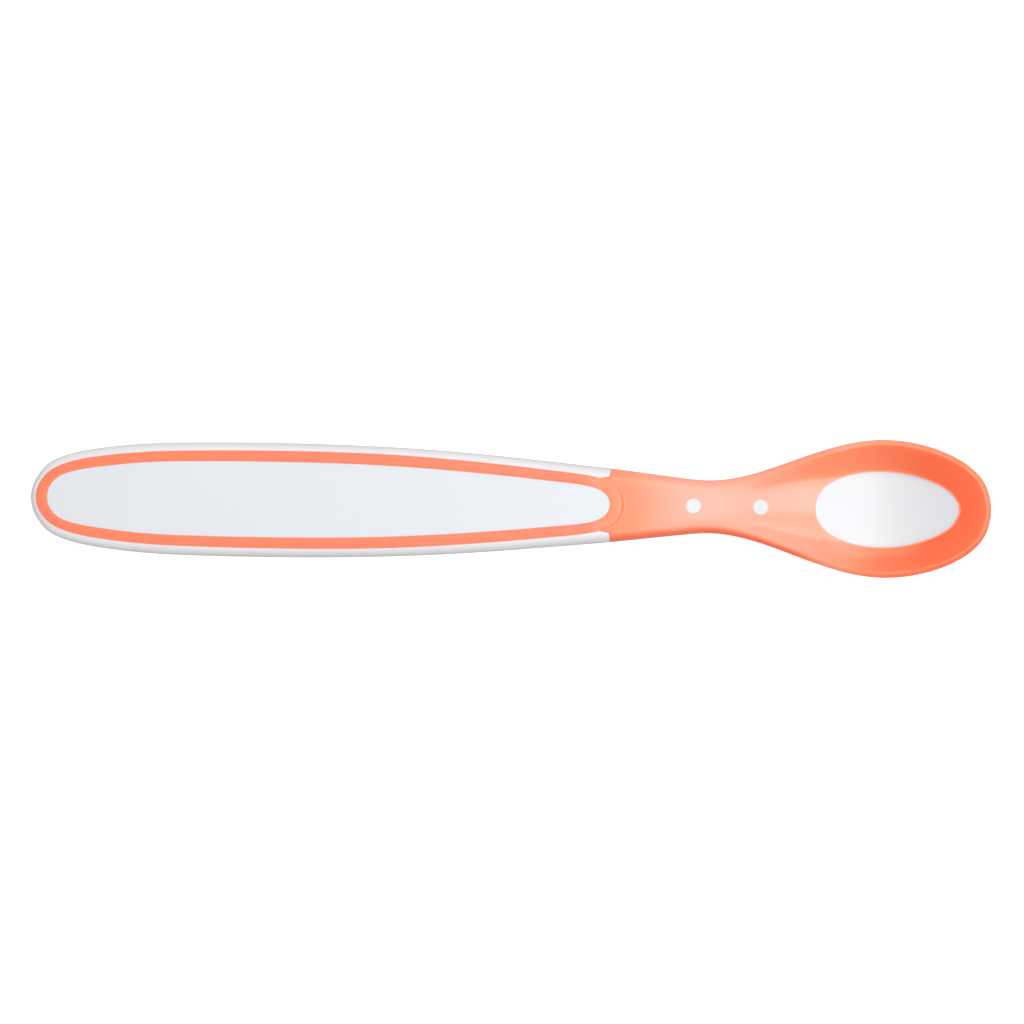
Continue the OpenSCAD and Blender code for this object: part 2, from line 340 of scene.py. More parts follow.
def to_mesh(name, points, faces):
    """A mesh from points in millimetres. Points in one place become one, and faces that close up go."""
    key = np.round(points, 5) + 0.0
    _, first, number = np.unique(key, axis=0, return_index=True, return_inverse=True)
    number = number.ravel()
    kept, seen = [], set()
    for face in faces:
        ids = []
        for v in face:
            i = int(number[v])
            if not ids or ids[-1] != i:
                ids.append(i)
        if len(ids) > 1 and ids[0] == ids[-1]:
            ids.pop()
        if len(ids) < 3 or len(set(ids)) < len(ids):
            continue
        mark = tuple(sorted(ids))
        if mark in seen:
            continue
        seen.add(mark)
        kept.append(ids)
    co = points[first] * 0.001
    used = np.zeros(len(co), bool)
    for f in kept:
        used[f] = True
    index = np.cumsum(used) - 1
    mesh = bpy.data.meshes.new(name)
    mesh.from_pydata(co[used].tolist(), [], [[int(index[v]) for v in f] for f in kept])
    mesh.validate()
    obj = bpy.data.objects.new(name, mesh)
    bpy.context.scene.collection.objects.link(obj)
    import bmesh

    bm = bmesh.new()
    bm.from_mesh(mesh)
    bmesh.ops.recalc_face_normals(bm, faces=bm.faces)
    for f in bm.faces:
        f.smooth = True
    for e in bm.edges:
        e.smooth = not (len(e.link_faces) == 2 and e.calc_face_angle(0) > math.radians(50))
    bm.to_mesh(mesh)
    bm.free()
    return obj


def both_halves(grid_faces, points, other=None):
    """Adds the mirror image of faces on the +Y half, or the -Y half's own points where it has some."""
    n = len(points)
    mirrored = (points if other is None else other) * np.array([1, -1, 1])
    return (
        np.concatenate([points, mirrored]),
        grid_faces + [[v + n for v in reversed(f)] for f in grid_faces],
    )


def strip(a, b):
    """Quads between two rows or columns of point numbers."""
    return [[int(a[i]), int(a[i + 1]), int(b[i + 1]), int(b[i])] for i in range(len(a) - 1)]


NEAR = np.array([0, 0.018, 0.04, 0.065, 0.09, 0.13, 0.2])


def columns(x0, l, n, power):
    """Distances along a rib line from x0 to its end l, close together at both."""
    x0, l = np.asarray(x0, float)[:, None], np.asarray(l, float)[:, None]
    k = np.minimum(1, (l - x0) / 0.6)
    near = x0 + NEAR[None] * k
    start = near[:, -1:]
    f = (np.arange(1, n + 1) / n)[None]
    far = start + (l - start) * (1 - (1 - f) ** power)
    return np.concatenate([near, far], 1)


def crossing(s, inside):
    """How far along each rib line a closed outline lies, or 0 where the line's foot is outside."""
    m, l, w = foot(s), reach(s), half(s)
    lo, hi = np.zeros(len(s)), l.copy()
    out = ~inside(m, np.zeros(len(s)))
    for _ in range(44):
        x = (lo + hi) / 2
        within = inside(m + (s - m) * x / l, w * x / l)
        lo = np.where(within, x, lo)
        hi = np.where(within, hi, x)
    return np.where(out, 0, (lo + hi) / 2)


def rib_point(s, x, shift):
    """Plan position at x along the rib line of s, moved back by the share shift of the rim end's curve."""
    s, shift = np.asarray(s)[:, None], np.asarray(shift)[:, None]
    m, l, w = foot(s), reach(s), half(s)
    y = w * x / l
    return m + (s - m) * x / l - end_shift(y) * shift, y


def clusters(values):
    """Extra stations round each tip of an opening."""
    near = [0.012, 0.03, 0.06, 0.09, 0.14, 0.22, 0.34, 0.5]
    return [v + k * d for v in values for d in [0, *near] for k in (1, -1)]


def tidy(stations, fixed, gap=0.008):
    out = []
    for s in sorted(stations):
        if out and s - out[-1] < gap:
            if s in fixed:
                out[-1] = s
            continue
        out.append(s)
    return np.array(out)


# ---------------------------------------------------------------- core


def shift_before(s):
    return ease(93, RIM_END, s)


def shift_after(s):
    return 1 - ease(RIM_END, 104.5, s)


def notch_tip():
    lo, hi = RIM_END, 106.0
    for _ in range(60):
        s = (lo + hi) / 2
        if s - end_shift(0.0) * shift_after(s) < 101.7:
            lo = s
        else:
            hi = s
    return (lo + hi) / 2


NOTCH = float(notch_tip())
hole_tips = [NOTCH, *[c + k * DOT_R for c in DOTS for k in (-1, 1)], WINDOW_ENDS[0]]

neck_rows = tidy(
    [
        *np.arange(RIM_END, 145, 0.5),
        *(145 + 20 * np.sin(np.linspace(0, math.pi / 2, 56))),
        *[s for s in clusters(hole_tips) if s > RIM_END + 0.01],
        *np.arange(119.2, 120.5, 0.12),
        RIM_END,
        *hole_tips,
        165.0,
    ],
    {RIM_END, 165.0, *hole_tips},
)


def opening_top(s):
    """Where the white core, or the band at the handle's end, shows through the soft skin."""
    x = np.zeros(len(s))
    on = s < NOTCH - 1e-9
    if on.any():
        q = s[on]
        lo, hi = np.zeros(len(q)), half(q)
        for _ in range(44):
            y = (lo + hi) / 2
            within = y < band_half(q - end_shift(y) * shift_after(q))
            lo, hi = np.where(within, y, lo), np.where(within, hi, y)
        x[on] = lo
    return np.maximum(x, opening_both(s))


def opening_both(s):
    x = np.zeros(len(s))
    for c in DOTS:
        x = np.maximum(x, np.sqrt(np.maximum(0, DOT_R**2 - (s - c) ** 2)))
        x[np.abs(np.abs(s - c) - DOT_R) < 1e-6] = 0
    a, b = WINDOW_ENDS[0] + 1e-9, WINDOW_ENDS[1]
    w = crossing(s, lambda p, y: (y < window_half(p)) & (p > a) & (p < b))
    return np.maximum(x, np.where(s > a, w, 0))


def make_core():
    handle_rows = tidy(
        [*(14.4 * (1 - np.cos(np.linspace(0, math.pi / 2, 48)))), *np.arange(15, RIM_END, 0.9), RIM_END],
        {RIM_END, 0.0},
    )
    n_in, n_out, n_bot = 14, 26, 40
    s = np.concatenate([handle_rows, neck_rows])
    in_neck = np.concatenate([np.zeros(len(handle_rows), bool), np.ones(len(neck_rows), bool)])
    l = reach(s)
    shift = np.where(in_neck, shift_after(s), shift_before(s))

    well = np.zeros(len(s))
    h = ~in_neck
    w0 = crossing(s[h], lambda p, y: (y < band_half(p)) & (p > 1) & (p < 101.7))
    # near the rim's end the line is moved back, so the crossing is looked for there
    q = s[h]
    late = q > 90
    lo, hi = np.zeros(late.sum()), half(q[late])
    for _ in range(44):
        y = (lo + hi) / 2
        within = y < band_half(q[late] - end_shift(y) * shift_before(q[late]))
        lo, hi = np.where(within, y, lo), np.where(within, hi, y)
    w0[late] = lo
    well[h] = w0
    well[in_neck] = opening_top(s[in_neck])
    low = np.zeros(len(s))
    low[in_neck] = opening_both(s[in_neck])

    edge = np.where(in_neck, SKIN_EDGE, 0.0)
    thin = np.where(in_neck, SKIN_T, 0.0)
    outer = l - edge

    def inner_zone(x0, n):
        f = np.linspace(0, 1, n + 1)[None]
        x = x0[:, None] * (1 - (1 - f) ** 1.5)
        if n > 8:
            k = np.minimum(1, x0 / 0.6)[:, None]
            x = np.concatenate([x[:, :-1] * (1 - 0.2 * k / np.maximum(x0[:, None], 0.2)), x0[:, None] - NEAR[::-1][None] * k], 1)
        return np.clip(x, 0, x0[:, None])

    def lay(x, z_of, extra_thin, flush):
        p, y = rib_point(s, x, shift)
        z = z_of(p, y)
        if flush is not None:
            wide = bevel(seam_gap(p, y, ["band", "rim_end"]), SMALL)
            z = z - flush * np.maximum(wide, bevel(seam_gap(p, y, ["window", "dots"]), FINE))
        return np.stack([p, y, z - extra_thin], 2)

    # top: inner zone, wall, outer zone
    xi = inner_zone(well, n_in)
    top_in = lay(xi, top_at, 0, 1)
    is_well = (in_neck & (s < NOTCH + 1e-9)) | h
    top_in[is_well, :, 2] = SEAT_Z
    xo = columns(well, outer, n_out, np.float64(1.9))
    top_out = lay(xo, top_at, thin[:, None], np.where(in_neck, 0, 1)[:, None])
    # underside the same
    xb_in = inner_zone(low, n_in)
    bot_in = lay(xb_in, under_at, 0, None)
    xb = columns(low, outer, n_bot, np.float64(1.9))
    bot_out = lay(xb, under_at, -thin[:, None], None)
    bgap_in = seam_gap(bot_in[..., 0], bot_in[..., 1], ["window", "dots"])
    bot_in[..., 2] += bevel(bgap_in, FINE)
    # the widest line belongs to both sheets
    ez = edge_z(s)
    for k in np.nonzero(h)[0]:
        top_out[k, -1, 2] = bot_out[k, -1, 2] = ez[k]
    # rows with no opening: the inner zone lies on the outer one
    none = well <= 0
    top_in[none, :, 2] = top_out[none, :1, 2]
    none = low <= 0
    bot_in[none, :, 2] = bot_out[none, :1, 2]
    section = np.concatenate([top_in, top_out, bot_out[:, ::-1], bot_in[:, ::-1]], 1)
    section[:, [0, -1], 1] = 0
    n, m = section.shape[:2]
    ids = np.arange(n * m).reshape(n, m)
    faces = [f for i in range(n - 1) for f in strip(ids[i], ids[i + 1])]
    pts, faces = both_halves(faces, section.reshape(-1, 3))
    return to_mesh("handle_core_looks", pts, faces)


def make_skin():
    s = neck_rows
    l = reach(s)
    shift = shift_after(s)
    x_top, x_low = opening_top(s), opening_both(s)
    n_top, n_bot = 49, 35

    def sheet(x0, n, z_of, sign):
        x = columns(x0, l, n, np.float64(1.7))
        p, y = rib_point(s, x, shift)
        cut = bevel(seam_gap(p, y, ["window", "dots"]), FINE)
        if sign > 0:
            cut = np.maximum(cut, bevel(seam_gap(p, y, ["rim_end"]), SMALL))
        z = z_of(p, y)
        out = []
        for side in (1, -1):
            v = z - sign * cut
            if sign > 0:
                d = seam_gap(p, y, ["band"])
                v = z - np.maximum(cut, crease(p, side * y) * bevel(d)) + lip_line(p, side * y, d)
            v[:, -1] = edge_z(s)
            out.append(np.stack([p, y, v], 2))
        xi = x0[:, None] + (x - x0[:, None]) * ((l - SKIN_EDGE - x0) / (l - x0))[:, None]
        p, y = rib_point(s, xi, shift)
        inn = np.stack([p, y, z_of(p, y) - sign * SKIN_T], 2)
        return out, inn

    (top_out, top_far), top_in = sheet(x_top, n_top, top_at, 1)
    (bot_out, _), bot_in = sheet(x_low, n_bot, under_at, -1)
    # gate mark: a small flat pip with a ring round it
    r = np.hypot(top_out[..., 0] - 119.8, top_out[..., 1] - 0.55)
    top_out[..., 2] += 0.045 * (1 - ease(0.22, 0.34, r)) - 0.03 * np.exp(-(((r - 0.45) / 0.1) ** 2))
    top_far[:, 0, 2] = np.where(x_top <= 0, top_out[:, 0, 2], top_far[:, 0, 2])

    outer, far = (np.concatenate([top, bot_out[:, -2::-1]], 1) for top in (top_out, top_far))
    inner = np.concatenate([top_in, bot_in[:, ::-1]], 1)
    no_top, no_low = x_top <= 0, x_low <= 0
    for sheets in (outer, far, inner):
        sheets[no_top, 0, 1] = 0
        sheets[no_low, -1, 1] = 0
    n, mo = outer.shape[:2]
    mi = inner.shape[1]
    o = np.arange(n * mo).reshape(n, mo)
    i_ = n * mo + np.arange(n * mi).reshape(n, mi)
    faces = []
    for k in range(n - 1):
        faces += strip(o[k], o[k + 1])
        faces += strip(i_[k + 1], i_[k])
        if x_top[k] > 0 or x_top[k + 1] > 0:
            faces.append([int(i_[k, 0]), int(i_[k + 1, 0]), int(o[k + 1, 0]), int(o[k, 0])])
        if x_low[k] > 0 or x_low[k + 1] > 0:
            faces.append([int(o[k, -1]), int(o[k + 1, -1]), int(i_[k + 1, -1]), int(i_[k, -1])])
    # the left end: top sheets, then the side, then the bottom sheets
    a, b = o[0], i_[0]
    nt = top_out.shape[1]
    faces += strip(b[:nt], a[:nt])
    faces += strip(b[nt:], a[nt - 1 :])
    faces.append([int(a[nt - 1]), int(b[nt - 1]), int(b[nt])])
    pts, other = (np.concatenate([v.reshape(-1, 3), inner.reshape(-1, 3)]) for v in (outer, far))
    pts, faces = both_halves(faces, pts, other)
    return to_mesh("soft_bowl_looks", pts, faces)


# ---------------------------------------------------------------- band and panel


def fan(s, a, b, ra, rb, ea, eb):
    """Feet for an outline that closes at a and b, fanned over ea and eb at its ends."""
    v = np.clip((a + ea - s) / ea, 0, 1)
    w = np.clip((s - (b - eb)) / eb, 0, 1)
    ca, cb = ea / (ea - ra), eb / (eb - rb)
    m = np.where(v > 0, a + ea - (ea - ra) * (ca * v - (ca - 1) * v * v), s)
    return np.where(w > 0, b - eb + (eb - rb) * (cb * w - (cb - 1) * w * w), m)


def long_rows(a, b, ea, eb, step=0.8, n=44):
    t = np.linspace(0, math.pi / 2, n)
    return tidy(
        [*(a + ea * (1 - np.cos(t))), *np.arange(a + ea, b - eb, step), *(b - eb + eb * np.sin(t)), a, b],
        {a, b},
        0.002,
    )


def make_panel():
    a, b = PANEL_ENDS
    s = long_rows(a, b, 8, 7)
    m = fan(s, a, b, 3.9, 3.1, 8, 7)
    w = panel_half(s)
    l = np.hypot(s - m, w)
    near = NEAR[::-1]
    k = np.minimum(1, l / 0.5)[:, None]
    f = np.linspace(0, 1, 15)[:-1][None]
    x = np.concatenate([(l[:, None] - 0.2 * k) * (1 - (1 - f) ** 1.2), l[:, None] - near[None] * k], 1)
    p = m[:, None] + (s - m)[:, None] * x / l[:, None]
    y = w[:, None] * x / l[:, None]
    top = np.stack([p, y, top_at(p, y) - bevel(seam_gap(p, y, ["panel"]), SMALL)], 2)
    under = top[:, ::-1].copy()
    under[..., 2] = SEAT_Z
    section = np.concatenate([top, under], 1)
    section[:, [0, -1], 1] = 0
    n, c = section.shape[:2]
    ids = np.arange(n * c).reshape(n, c)
    faces = [q for i in range(n - 1) for q in strip(ids[i], ids[i + 1])]
    pts, faces = both_halves(faces, section.reshape(-1, 3))
    return to_mesh("handle_panel_looks", pts, faces)


def make_band():
    """A ring of cross-sections between the panel's outline and the band's outer outline."""
    a, b = 1.0, 101.7
    s = long_rows(a, b, 9, 8, 0.8, 60)
    m = fan(s, a, b, 5.2, 4.4, 9, 8)
    w = band_half(s)
    l = np.hypot(s - m, w)
    lo, hi = np.zeros(len(s)), l.copy()
    for _ in range(44):
        x = (lo + hi) / 2
        p, y = m + (s - m) * x / l, w * x / l
        within = (y < panel_half(p)) & (p > PANEL_ENDS[0]) & (p < PANEL_ENDS[1])
        lo, hi = np.where(within, x, lo), np.where(within, hi, x)
    x0 = lo
    near = NEAR / 1.0
    f = np.linspace(0, 1, 15)[None]
    width = (l - x0)[:, None]
    x = np.concatenate(
        [x0[:, None] + near[None], x0[:, None] + 0.2 + (width - 0.4) * f[:, 1:-1], l[:, None] - near[::-1][None]], 1
    )
    p = m[:, None] + (s - m)[:, None] * x / l[:, None]
    y = w[:, None] * x / l[:, None]
    v = (x - x0[:, None]) / width
    inner_cut = bevel(seam_gap(p, y, ["panel"]), SMALL)
    outer_cut = bevel(seam_gap(p, y, ["band"]), SMALL + (BEVEL - SMALL) * ease(95, 98, p))
    sections = []
    for side in (1, -1):
        deep = crease(p, side * y)
        proud = 0.11 * (1 - (2 * v - 1) ** 2) * (1 - 0.6 * ease(96, 99, p)) * (0.3 + 0.7 * deep)
        z = top_at(p, y) + proud - np.maximum(inner_cut, deep * outer_cut)
        top = np.stack([p, y, z], 2)
        under = top[:, ::-1].copy()
        under[..., 2] = SEAT_Z
        section = np.concatenate([top, under, top[:, :1]], 1)
        section[[0, -1], :, 1] = 0
        sections.append(section)
    n, c = sections[0].shape[:2]
    ids = np.arange(n * c).reshape(n, c)
    faces = [q for i in range(n - 1) for q in strip(ids[i], ids[i + 1])]
    pts, faces = both_halves(faces, *(v.reshape(-1, 3) for v in sections))
    return to_mesh("grip_band_looks", pts, faces)


core = make_core()
skin = make_skin()
panel = make_panel()
band = make_band()


# ---------------------------------------------------------------- materials


def links(tree, *pairs):
    for a, b in pairs:
        tree.links.new(a, b)


def grain(tree, coord, parts, distance):
    """A bump made of several noises: [(scale per metre, detail, strength)]."""
    last = None
    for scale, detail, strength in parts:
        noise = tree.nodes.new("ShaderNodeTexNoise")
        noise.inputs["Scale"].default_value = scale
        noise.inputs["Detail"].default_value = detail
        noise.inputs["Roughness"].default_value = 0.55
        tree.links.new(coord, noise.inputs["Vector"])
        bump = tree.nodes.new("ShaderNodeBump")
        bump.inputs["Strength"].default_value = strength
        bump.inputs["Distance"].default_value = distance
        tree.links.new(noise.outputs["Fac"], bump.inputs["Height"])
        if last is not None:
            tree.links.new(last, bump.inputs["Normal"])
        last = bump.outputs["Normal"]
    return last


def white_plastic(name, colour, shade, rough=(0.3, 0.4), bumps=((2600, 3, 0.12), (120, 2, 0.10)), tint=None):
    mat = bpy.data.materials.new(name)
    mat.use_nodes = True
    t = mat.node_tree
    bsdf = t.nodes["Principled BSDF"]
    coord = t.nodes.new("ShaderNodeTexCoord").outputs["Object"]
    cloud = t.nodes.new("ShaderNodeTexNoise")
    cloud.inputs["Scale"].default_value = 45
    cloud.inputs["Detail"].default_value = 3
    ramp = t.nodes.new("ShaderNodeValToRGB")
    ramp.color_ramp.elements[0].position = 0.3
    ramp.color_ramp.elements[0].color = (*shade, 1)
    ramp.color_ramp.elements[1].position = 0.7
    ramp.color_ramp.elements[1].color = (*colour, 1)
    fine = t.nodes.new("ShaderNodeTexNoise")
    fine.inputs["Scale"].default_value = 900
    fine.inputs["Detail"].default_value = 4
    rr = t.nodes.new("ShaderNodeMapRange")
    rr.inputs["From Min"].default_value = 0.3
    rr.inputs["From Max"].default_value = 0.7
    rr.inputs["To Min"].default_value = rough[0]
    rr.inputs["To Max"].default_value = rough[1]
    links(
        t,
        (coord, cloud.inputs["Vector"]),
        (cloud.outputs["Fac"], ramp.inputs["Fac"]),
        (ramp.outputs["Color"], bsdf.inputs["Base Color"]),
        (coord, fine.inputs["Vector"]),
        (fine.outputs["Fac"], rr.inputs["Value"]),
        (rr.outputs["Result"], bsdf.inputs["Roughness"]),
        (grain(t, coord, bumps, 0.00004), bsdf.inputs["Normal"]),
    )
    if tint:
        # the blade in the bowl has a colder white than the rim
        split = t.nodes.new("ShaderNodeSeparateXYZ")
        place = t.nodes.new("ShaderNodeMapRange")
        place.inputs["From Min"].default_value = 0.015
        place.inputs["From Max"].default_value = 0.045
        blend = t.nodes.new("ShaderNodeMixRGB")
        blend.blend_type = "MIX"
        blend.inputs["Color2"].default_value = (*tint, 1)
        links(
            t,
            (coord, split.inputs[0]),
            (split.outputs["X"], place.inputs["Value"]),
            (place.outputs["Result"], blend.inputs["Fac"]),
            (ramp.outputs["Color"], blend.inputs["Color1"]),
            (blend.outputs["Color"], bsdf.inputs["Base Color"]),
        )
    bsdf.inputs["IOR"].default_value = 1.49
    bsdf.inputs["Subsurface Weight"].default_value = 0.12
    bsdf.inputs["Subsurface Radius"].default_value = (1.0, 0.95, 0.9)
    bsdf.inputs["Subsurface Scale"].default_value = 0.0008
    return mat


def coral_soft(name, deep, middle, pale, bumps=((3000, 4, 0.16), (260, 2, 0.08))):
    """Soft elastomer. It is drawn paler where a thin layer lies over the white core, and also where painted light
    and painted sheen are laid into the same attribute.
    """
    mat = bpy.data.materials.new(name)
    mat.use_nodes = True
    t = mat.node_tree
    bsdf = t.nodes["Principled BSDF"]
    coord = t.nodes.new("ShaderNodeTexCoord").outputs["Object"]
    # the thin attribute: how pale the skin is drawn, from its thickness over the core and from painted light
    thin = t.nodes.new("ShaderNodeAttribute")
    thin.attribute_type = "GEOMETRY"
    thin.attribute_name = "thin"
    cloud = t.nodes.new("ShaderNodeTexNoise")
    cloud.inputs["Scale"].default_value = 160
    cloud.inputs["Detail"].default_value = 3
    sway = t.nodes.new("ShaderNodeMath")
    sway.operation = "MULTIPLY_ADD"
    sway.inputs[1].default_value = 0.08
    mix = t.nodes.new("ShaderNodeMath")
    mix.operation = "SUBTRACT"
    mix.inputs[1].default_value = 0.04
    ramp = t.nodes.new("ShaderNodeValToRGB")
    ramp.color_ramp.elements[0].position = 0.0
    ramp.color_ramp.elements[0].color = (*deep, 1)
    ramp.color_ramp.elements[1].position = 1.0
    ramp.color_ramp.elements[1].color = (*pale, 1)
    ramp.color_ramp.elements.new(0.45).color = (*middle, 1)
    fine = t.nodes.new("ShaderNodeTexNoise")
    fine.inputs["Scale"].default_value = 1100
    fine.inputs["Detail"].default_value = 4
    rr = t.nodes.new("ShaderNodeMapRange")
    rr.inputs["From Min"].default_value = 0.3
    rr.inputs["From Max"].default_value = 0.7
    rr.inputs["To Min"].default_value = 0.28
    rr.inputs["To Max"].default_value = 0.38
    links(
        t,
        (coord, cloud.inputs["Vector"]),
        (cloud.outputs["Fac"], sway.inputs[0]),
        (thin.outputs["Fac"], sway.inputs[2]),
        (sway.outputs[0], mix.inputs[0]),
        (mix.outputs[0], ramp.inputs["Fac"]),
        (ramp.outputs["Color"], bsdf.inputs["Base Color"]),
        (coord, fine.inputs["Vector"]),
        (fine.outputs["Fac"], rr.inputs["Value"]),
        (rr.outputs["Result"], bsdf.inputs["Roughness"]),
        (grain(t, coord, bumps, 0.00004), bsdf.inputs["Normal"]),
    )
    bsdf.inputs["IOR"].default_value = 1.5
    bsdf.inputs["Subsurface Weight"].default_value = 0.3
    bsdf.inputs["Subsurface Radius"].default_value = (1.0, 0.3, 0.16)
    bsdf.inputs["Subsurface Scale"].default_value = 0.002
    bsdf.inputs["Sheen Weight"].default_value = 0.25
    bsdf.inputs["Sheen Tint"].default_value = (1.0, 0.5, 0.4, 1)
    bsdf.inputs["Sheen Roughness"].default_value = 0.5
    return mat


def set_paleness(obj, f):
    n = len(obj.data.vertices)
    co = np.zeros(n * 3)
    obj.data.vertices.foreach_get("co", co)
    co = co.reshape(-1, 3) * 1000
    values = f(co[:, 0], co[:, 1], co[:, 2]).astype(np.float32)
    obj.data.attributes.new("thin", "FLOAT", "POINT").data.foreach_set("value", values)


# How pale the skin is drawn by station, along the neck's middle (ALONG) and on the walls (WALL_PALE). Partly thin
# skin over the white core, partly painted sheen where the surface faces the key light. The walls run deep towards
# the tip, where the skin is thick and the wall also gets painted shade, facing away from the light.
ALONG = [
    [100, 0.36], [103, 0.38], [106.3, 0.56], [111.5, 0.78], [116.6, 0.93],
    [122.6, 0.83], [129.5, 0.83], [133, 0.81], [140, 0.84],
]
WALL_PALE = [
    [100, 0.41], [103, 0.45], [106.3, 0.58], [111.5, 0.72], [118, 0.74], [127, 0.66], [132, 0.57], [135.5, 0.5], [140, 0.38],
    [146, 0.19], [153, 0.05], [158, 0.0], [165, 0.0],
]


def skin_thin_and_painted_light(p, y, z):
    """How pale the soft skin is drawn, 1 palest and 0 deepest. Partly its own colour: paler where a thin layer lies
    over the white core, deep where it is solid. Partly painted light: painted sheen on surfaces that face the
    light, a painted highlight on the lip, and painted shade on the -Y side.
    """
    s, x, l = find_rib(p, y)
    d, q = l - x, x / (l - LAND)
    along = np.interp(p, *np.array(ALONG).T)
    wall = np.interp(s, *np.array(WALL_PALE).T)
    low = 1 - ease(-2, 2, y)
    turn = np.interp(s, [100, 112, 124], [0.5, 0.62, 0.95])
    flat = 1 - ease(0.45, 1.0, q / turn_at(s) * turn)
    # below the widest line the skin is thick along its edge
    under = (wall + (along - wall) * flat) * (0.1 + 0.9 * ease(0.0, 3.0, d))
    # painted shade: from station 118 on, the -Y half of the neck floor is drawn deeper, as it turns away from the
    # light
    along = along * (1 - np.interp(s, [118, 123, 128, 134], [0, 0.13, 0.28, 0.38]) * (1 - ease(-2.2, 0.6, y)))
    # deeper along the outline, where the skin is solid coral. On the -Y side this is drawn in full and is also
    # painted shade; on the +Y side, which is drawn as lit, it is kept only slight.
    edge = 0.03 + 0.97 * ease(0.1, 1.45, d)
    edge = low * edge + (1 - low) * (0.92 + 0.08 * ease(0.0, 0.6, d))
    edge = edge + (1 - edge) * ease(130, 138, s)
    # painted light: the -Y wall of the neck and bowl, which faces +Y towards the light, is drawn paler
    wall = wall + 0.18 * low * ease(121, 132, s) * (1 - ease(138, 148, s))
    # a deeper strip just inside the -Y edge of the bowl
    wall = wall - 0.14 * low * np.exp(-(((d - 0.7) / 0.5) ** 2)) * ease(128, 137, s) * (1 - ease(142, 149, s))
    # painted light: the neck's +Y half and the bowl's +Y side are drawn paler
    wall = wall + (1 - low) * (0.11 * (1 - ease(121, 128, s)) + 0.08 * ease(136, 141, s) * (1 - ease(151, 157, s)))
    # towards the window it is drawn paler: the skin thins out there, and the wider pale zone on the -Y side, whose
    # wall faces the light, is painted light as well
    near = seam_gap(p, y, ["window"], 5.0)
    near_low = 1 - ease(0, 1, (near - 0.7) / (np.interp(s, [136, 146], [5.0, 2.6]) - 0.7))
    near_up = 1 - ease(0.3, 1.4, near)
    wall = wall + 0.25 * low * near_low * ease(133, 144, s) * (1 - ease(149, 157, s))
    wall = wall + 0.1 * (1 - low) * near_up * ease(131, 135, s) * (1 - ease(149, 157, s))
    # painted highlight and sheen on the rounded lip, strongest on the +Y side, which faces the light, and at the
    # tip
    up = ease(-8, 1, y)
    lip = ease(132, 142, s) * ((0.06 + 0.16 * up) * (1 - ease(0.35, 1.6, d)) + 0.17 * up * (1 - ease(0, 0.7, d)))
    # and at the openings the skin runs out to a feather edge
    feather = 0.9 * (1 - ease(0.0, 0.46, seam_gap(p, y, ["window", "dots"])))
    over = (wall + (along - wall) * flat) * edge + lip
    outside = z < (top_at(p, y) + under_at(p, y)) / 2
    over = over + (under - over) * np.where(outside, ease(0.0, 0.6, edge_z(s) - z), 0)
    return np.clip(np.maximum(over, feather), 0, 1)


set_paleness(skin, skin_thin_and_painted_light)
# the band is drawn paler towards its right end, where it runs into the neck
set_paleness(band, lambda p, y, z: 0.04 + 0.33 * ease(93, 101.7, p))

CORE_WHITE = white_plastic("core_white", (0.69, 0.675, 0.687), (0.68, 0.665, 0.677), tint=(0.585, 0.625, 0.65))
PANEL_WHITE = white_plastic("panel_white", (0.63, 0.65, 0.68), (0.62, 0.64, 0.67), (0.34, 0.44))
CORAL_SKIN = coral_soft("coral_skin", (1.0, 0.136, 0.043), (1.0, 0.25, 0.119), (1.0, 0.41, 0.323))
CORAL_BAND = coral_soft("coral_band", (1.0, 0.195, 0.098), (1.0, 0.25, 0.119), (1.0, 0.41, 0.32))

for piece, node, slot, mat in (
    (core, "handle_core", "core_plastic", CORE_WHITE),
    (panel, "handle_panel", "panel_plastic", PANEL_WHITE),
    (band, "grip_band", "band_elastomer", CORAL_BAND),
    (skin, "soft_bowl", "skin_elastomer", CORAL_SKIN),
):
    # the meshes are made from the handle's end, and the frame's origin is at the middle
    piece.data.transform(Matrix.Translation((-0.0825, 0, 0)))
    piece.data.materials.append(mat)
    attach(piece, "root")
    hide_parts(node)

# ---------------------------------------------------------------- stage

floor_mesh = bpy.data.meshes.new("floor")
R = 3.0
floor_mesh.from_pydata([(-R, -R, 0), (R, -R, 0), (R, R, 0), (-R, R, 0)], [], [[0, 1, 2, 3]])
floor = bpy.data.objects.new("floor", floor_mesh)
bpy.context.scene.collection.objects.link(floor)
floor_mat = bpy.data.materials.new("floor_white")
floor_mat.use_nodes = True
fb = floor_mat.node_tree.nodes["Principled BSDF"]
fb.inputs["Base Color"].default_value = (0.9, 0.9, 0.9, 1)
fb.inputs["Roughness"].default_value = 0.9
fb.inputs["Specular IOR Level"].default_value = 0.1
fb.inputs["Emission Color"].default_value = (1, 1, 1, 1)
fb.inputs["Emission Strength"].default_value = 0.55
# the light that the floor throws back on the spoon's sides is less than what the camera sees of it
ft = floor_mat.node_tree
seen = ft.nodes.new("ShaderNodeLightPath")
dull = ft.nodes.new("ShaderNodeBsdfDiffuse")
dull.inputs["Color"].default_value = (0.48, 0.48, 0.48, 1)
either = ft.nodes.new("ShaderNodeMixShader")
ft.links.new(seen.outputs["Is Camera Ray"], either.inputs[0])
ft.links.new(dull.outputs[0], either.inputs[1])
ft.links.new(fb.outputs[0], either.inputs[2])
ft.links.new(either.outputs[0], ft.nodes["Material Output"].inputs["Surface"])
floor.data.materials.append(floor_mat)


def softbox(name, place, aim, size, power, colour=(1, 1, 1)):
    data = bpy.data.lights.new(name, "AREA")
    data.shape = "RECTANGLE"
    data.size, data.size_y = size
    data.energy = power
    data.color = colour
    lamp = bpy.data.objects.new(name, data)
    lamp.location = place
    lamp.rotation_euler = (Vector(aim) - Vector(place)).to_track_quat("-Z", "Y").to_euler()
    bpy.context.scene.collection.objects.link(lamp)
    return lamp


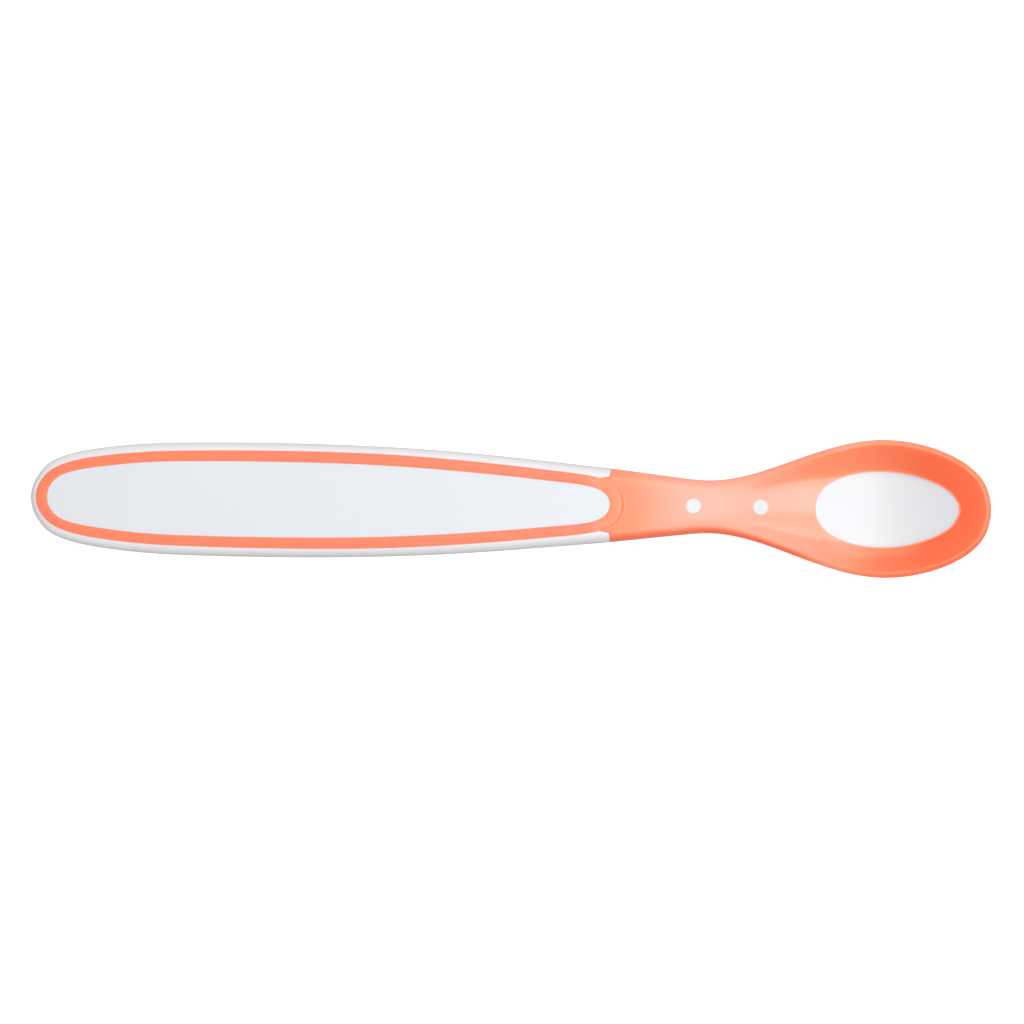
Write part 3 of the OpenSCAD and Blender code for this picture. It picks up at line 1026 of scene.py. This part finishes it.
TENT_LEAN, TENT_LOW, TENT_HIGH = 0.36, 0.24, 0.75
softbox("key", (0.52, 0.08, 1.0), (0, 0, 0), (0.9, 0.9), 10.2)

world = bpy.data.worlds.new("studio")
bpy.context.scene.world = world
world.use_nodes = True
wt = world.node_tree
bg = wt.nodes["Background"]
bg.inputs["Color"].default_value = (1, 1, 1, 1)
# a light tent: bright overhead, a little less at the sides, and least low down on the -Y side
where = wt.nodes.new("ShaderNodeTexCoord")
lean = wt.nodes.new("ShaderNodeVectorMath")
lean.operation = "DOT_PRODUCT"
lean.inputs[1].default_value = (0, TENT_LEAN, 1)
apart = wt.nodes.new("ShaderNodeSeparateXYZ")
near_y = wt.nodes.new("ShaderNodeMapRange")
near_y.inputs["To Max"].default_value = 0.9
near_x = wt.nodes.new("ShaderNodeMapRange")
near_x.inputs["From Max"].default_value = -1
near_x.inputs["To Max"].default_value = 0.7
total = wt.nodes.new("ShaderNodeMath")
total.operation = "ADD"
sides = wt.nodes.new("ShaderNodeMath")
sides.operation = "ADD"
tent = wt.nodes.new("ShaderNodeMapRange")
tent.interpolation_type = "SMOOTHSTEP"
tent.inputs["From Min"].default_value = -0.05
tent.inputs["From Max"].default_value = 0.5
tent.inputs["To Min"].default_value = TENT_LOW
tent.inputs["To Max"].default_value = TENT_HIGH
seen_world = wt.nodes.new("ShaderNodeLightPath")
plain = wt.nodes.new("ShaderNodeMapRange")
plain.inputs["To Max"].default_value = 0.8
wt.links.new(where.outputs["Generated"], lean.inputs[0])
wt.links.new(where.outputs["Generated"], apart.inputs[0])
wt.links.new(apart.outputs["Y"], near_y.inputs["Value"])
wt.links.new(lean.outputs["Value"], total.inputs[0])
wt.links.new(apart.outputs["X"], near_x.inputs["Value"])
wt.links.new(near_y.outputs["Result"], sides.inputs[0])
wt.links.new(near_x.outputs["Result"], sides.inputs[1])
wt.links.new(sides.outputs[0], total.inputs[1])
wt.links.new(total.outputs[0], tent.inputs["Value"])
wt.links.new(seen_world.outputs["Is Camera Ray"], plain.inputs["Value"])
wt.links.new(tent.outputs["Result"], plain.inputs["To Min"])
wt.links.new(plain.outputs["Result"], bg.inputs["Strength"])

bpy.context.scene.view_settings.view_transform = "Standard"

cam_data = bpy.data.cameras.new("camera")
cam_data.sensor_width = 36
cam_data.lens = 135
camera = bpy.data.objects.new("camera", cam_data)
bpy.context.scene.collection.objects.link(camera)
bpy.context.scene.camera = camera
WIDE = 0.1759
DIST = cam_data.lens / 36 * WIDE
TILT = math.radians(2.2)
camera.location = (0.0003, -0.00146 - DIST * math.sin(TILT), 0.005 + DIST * math.cos(TILT))
camera.rotation_euler = (
    Matrix.Rotation(TILT, 3, "X") @ Matrix.Rotation(math.radians(0.86), 3, "Z")
).to_euler()
cam_data.clip_start, cam_data.clip_end = 0.01, 10
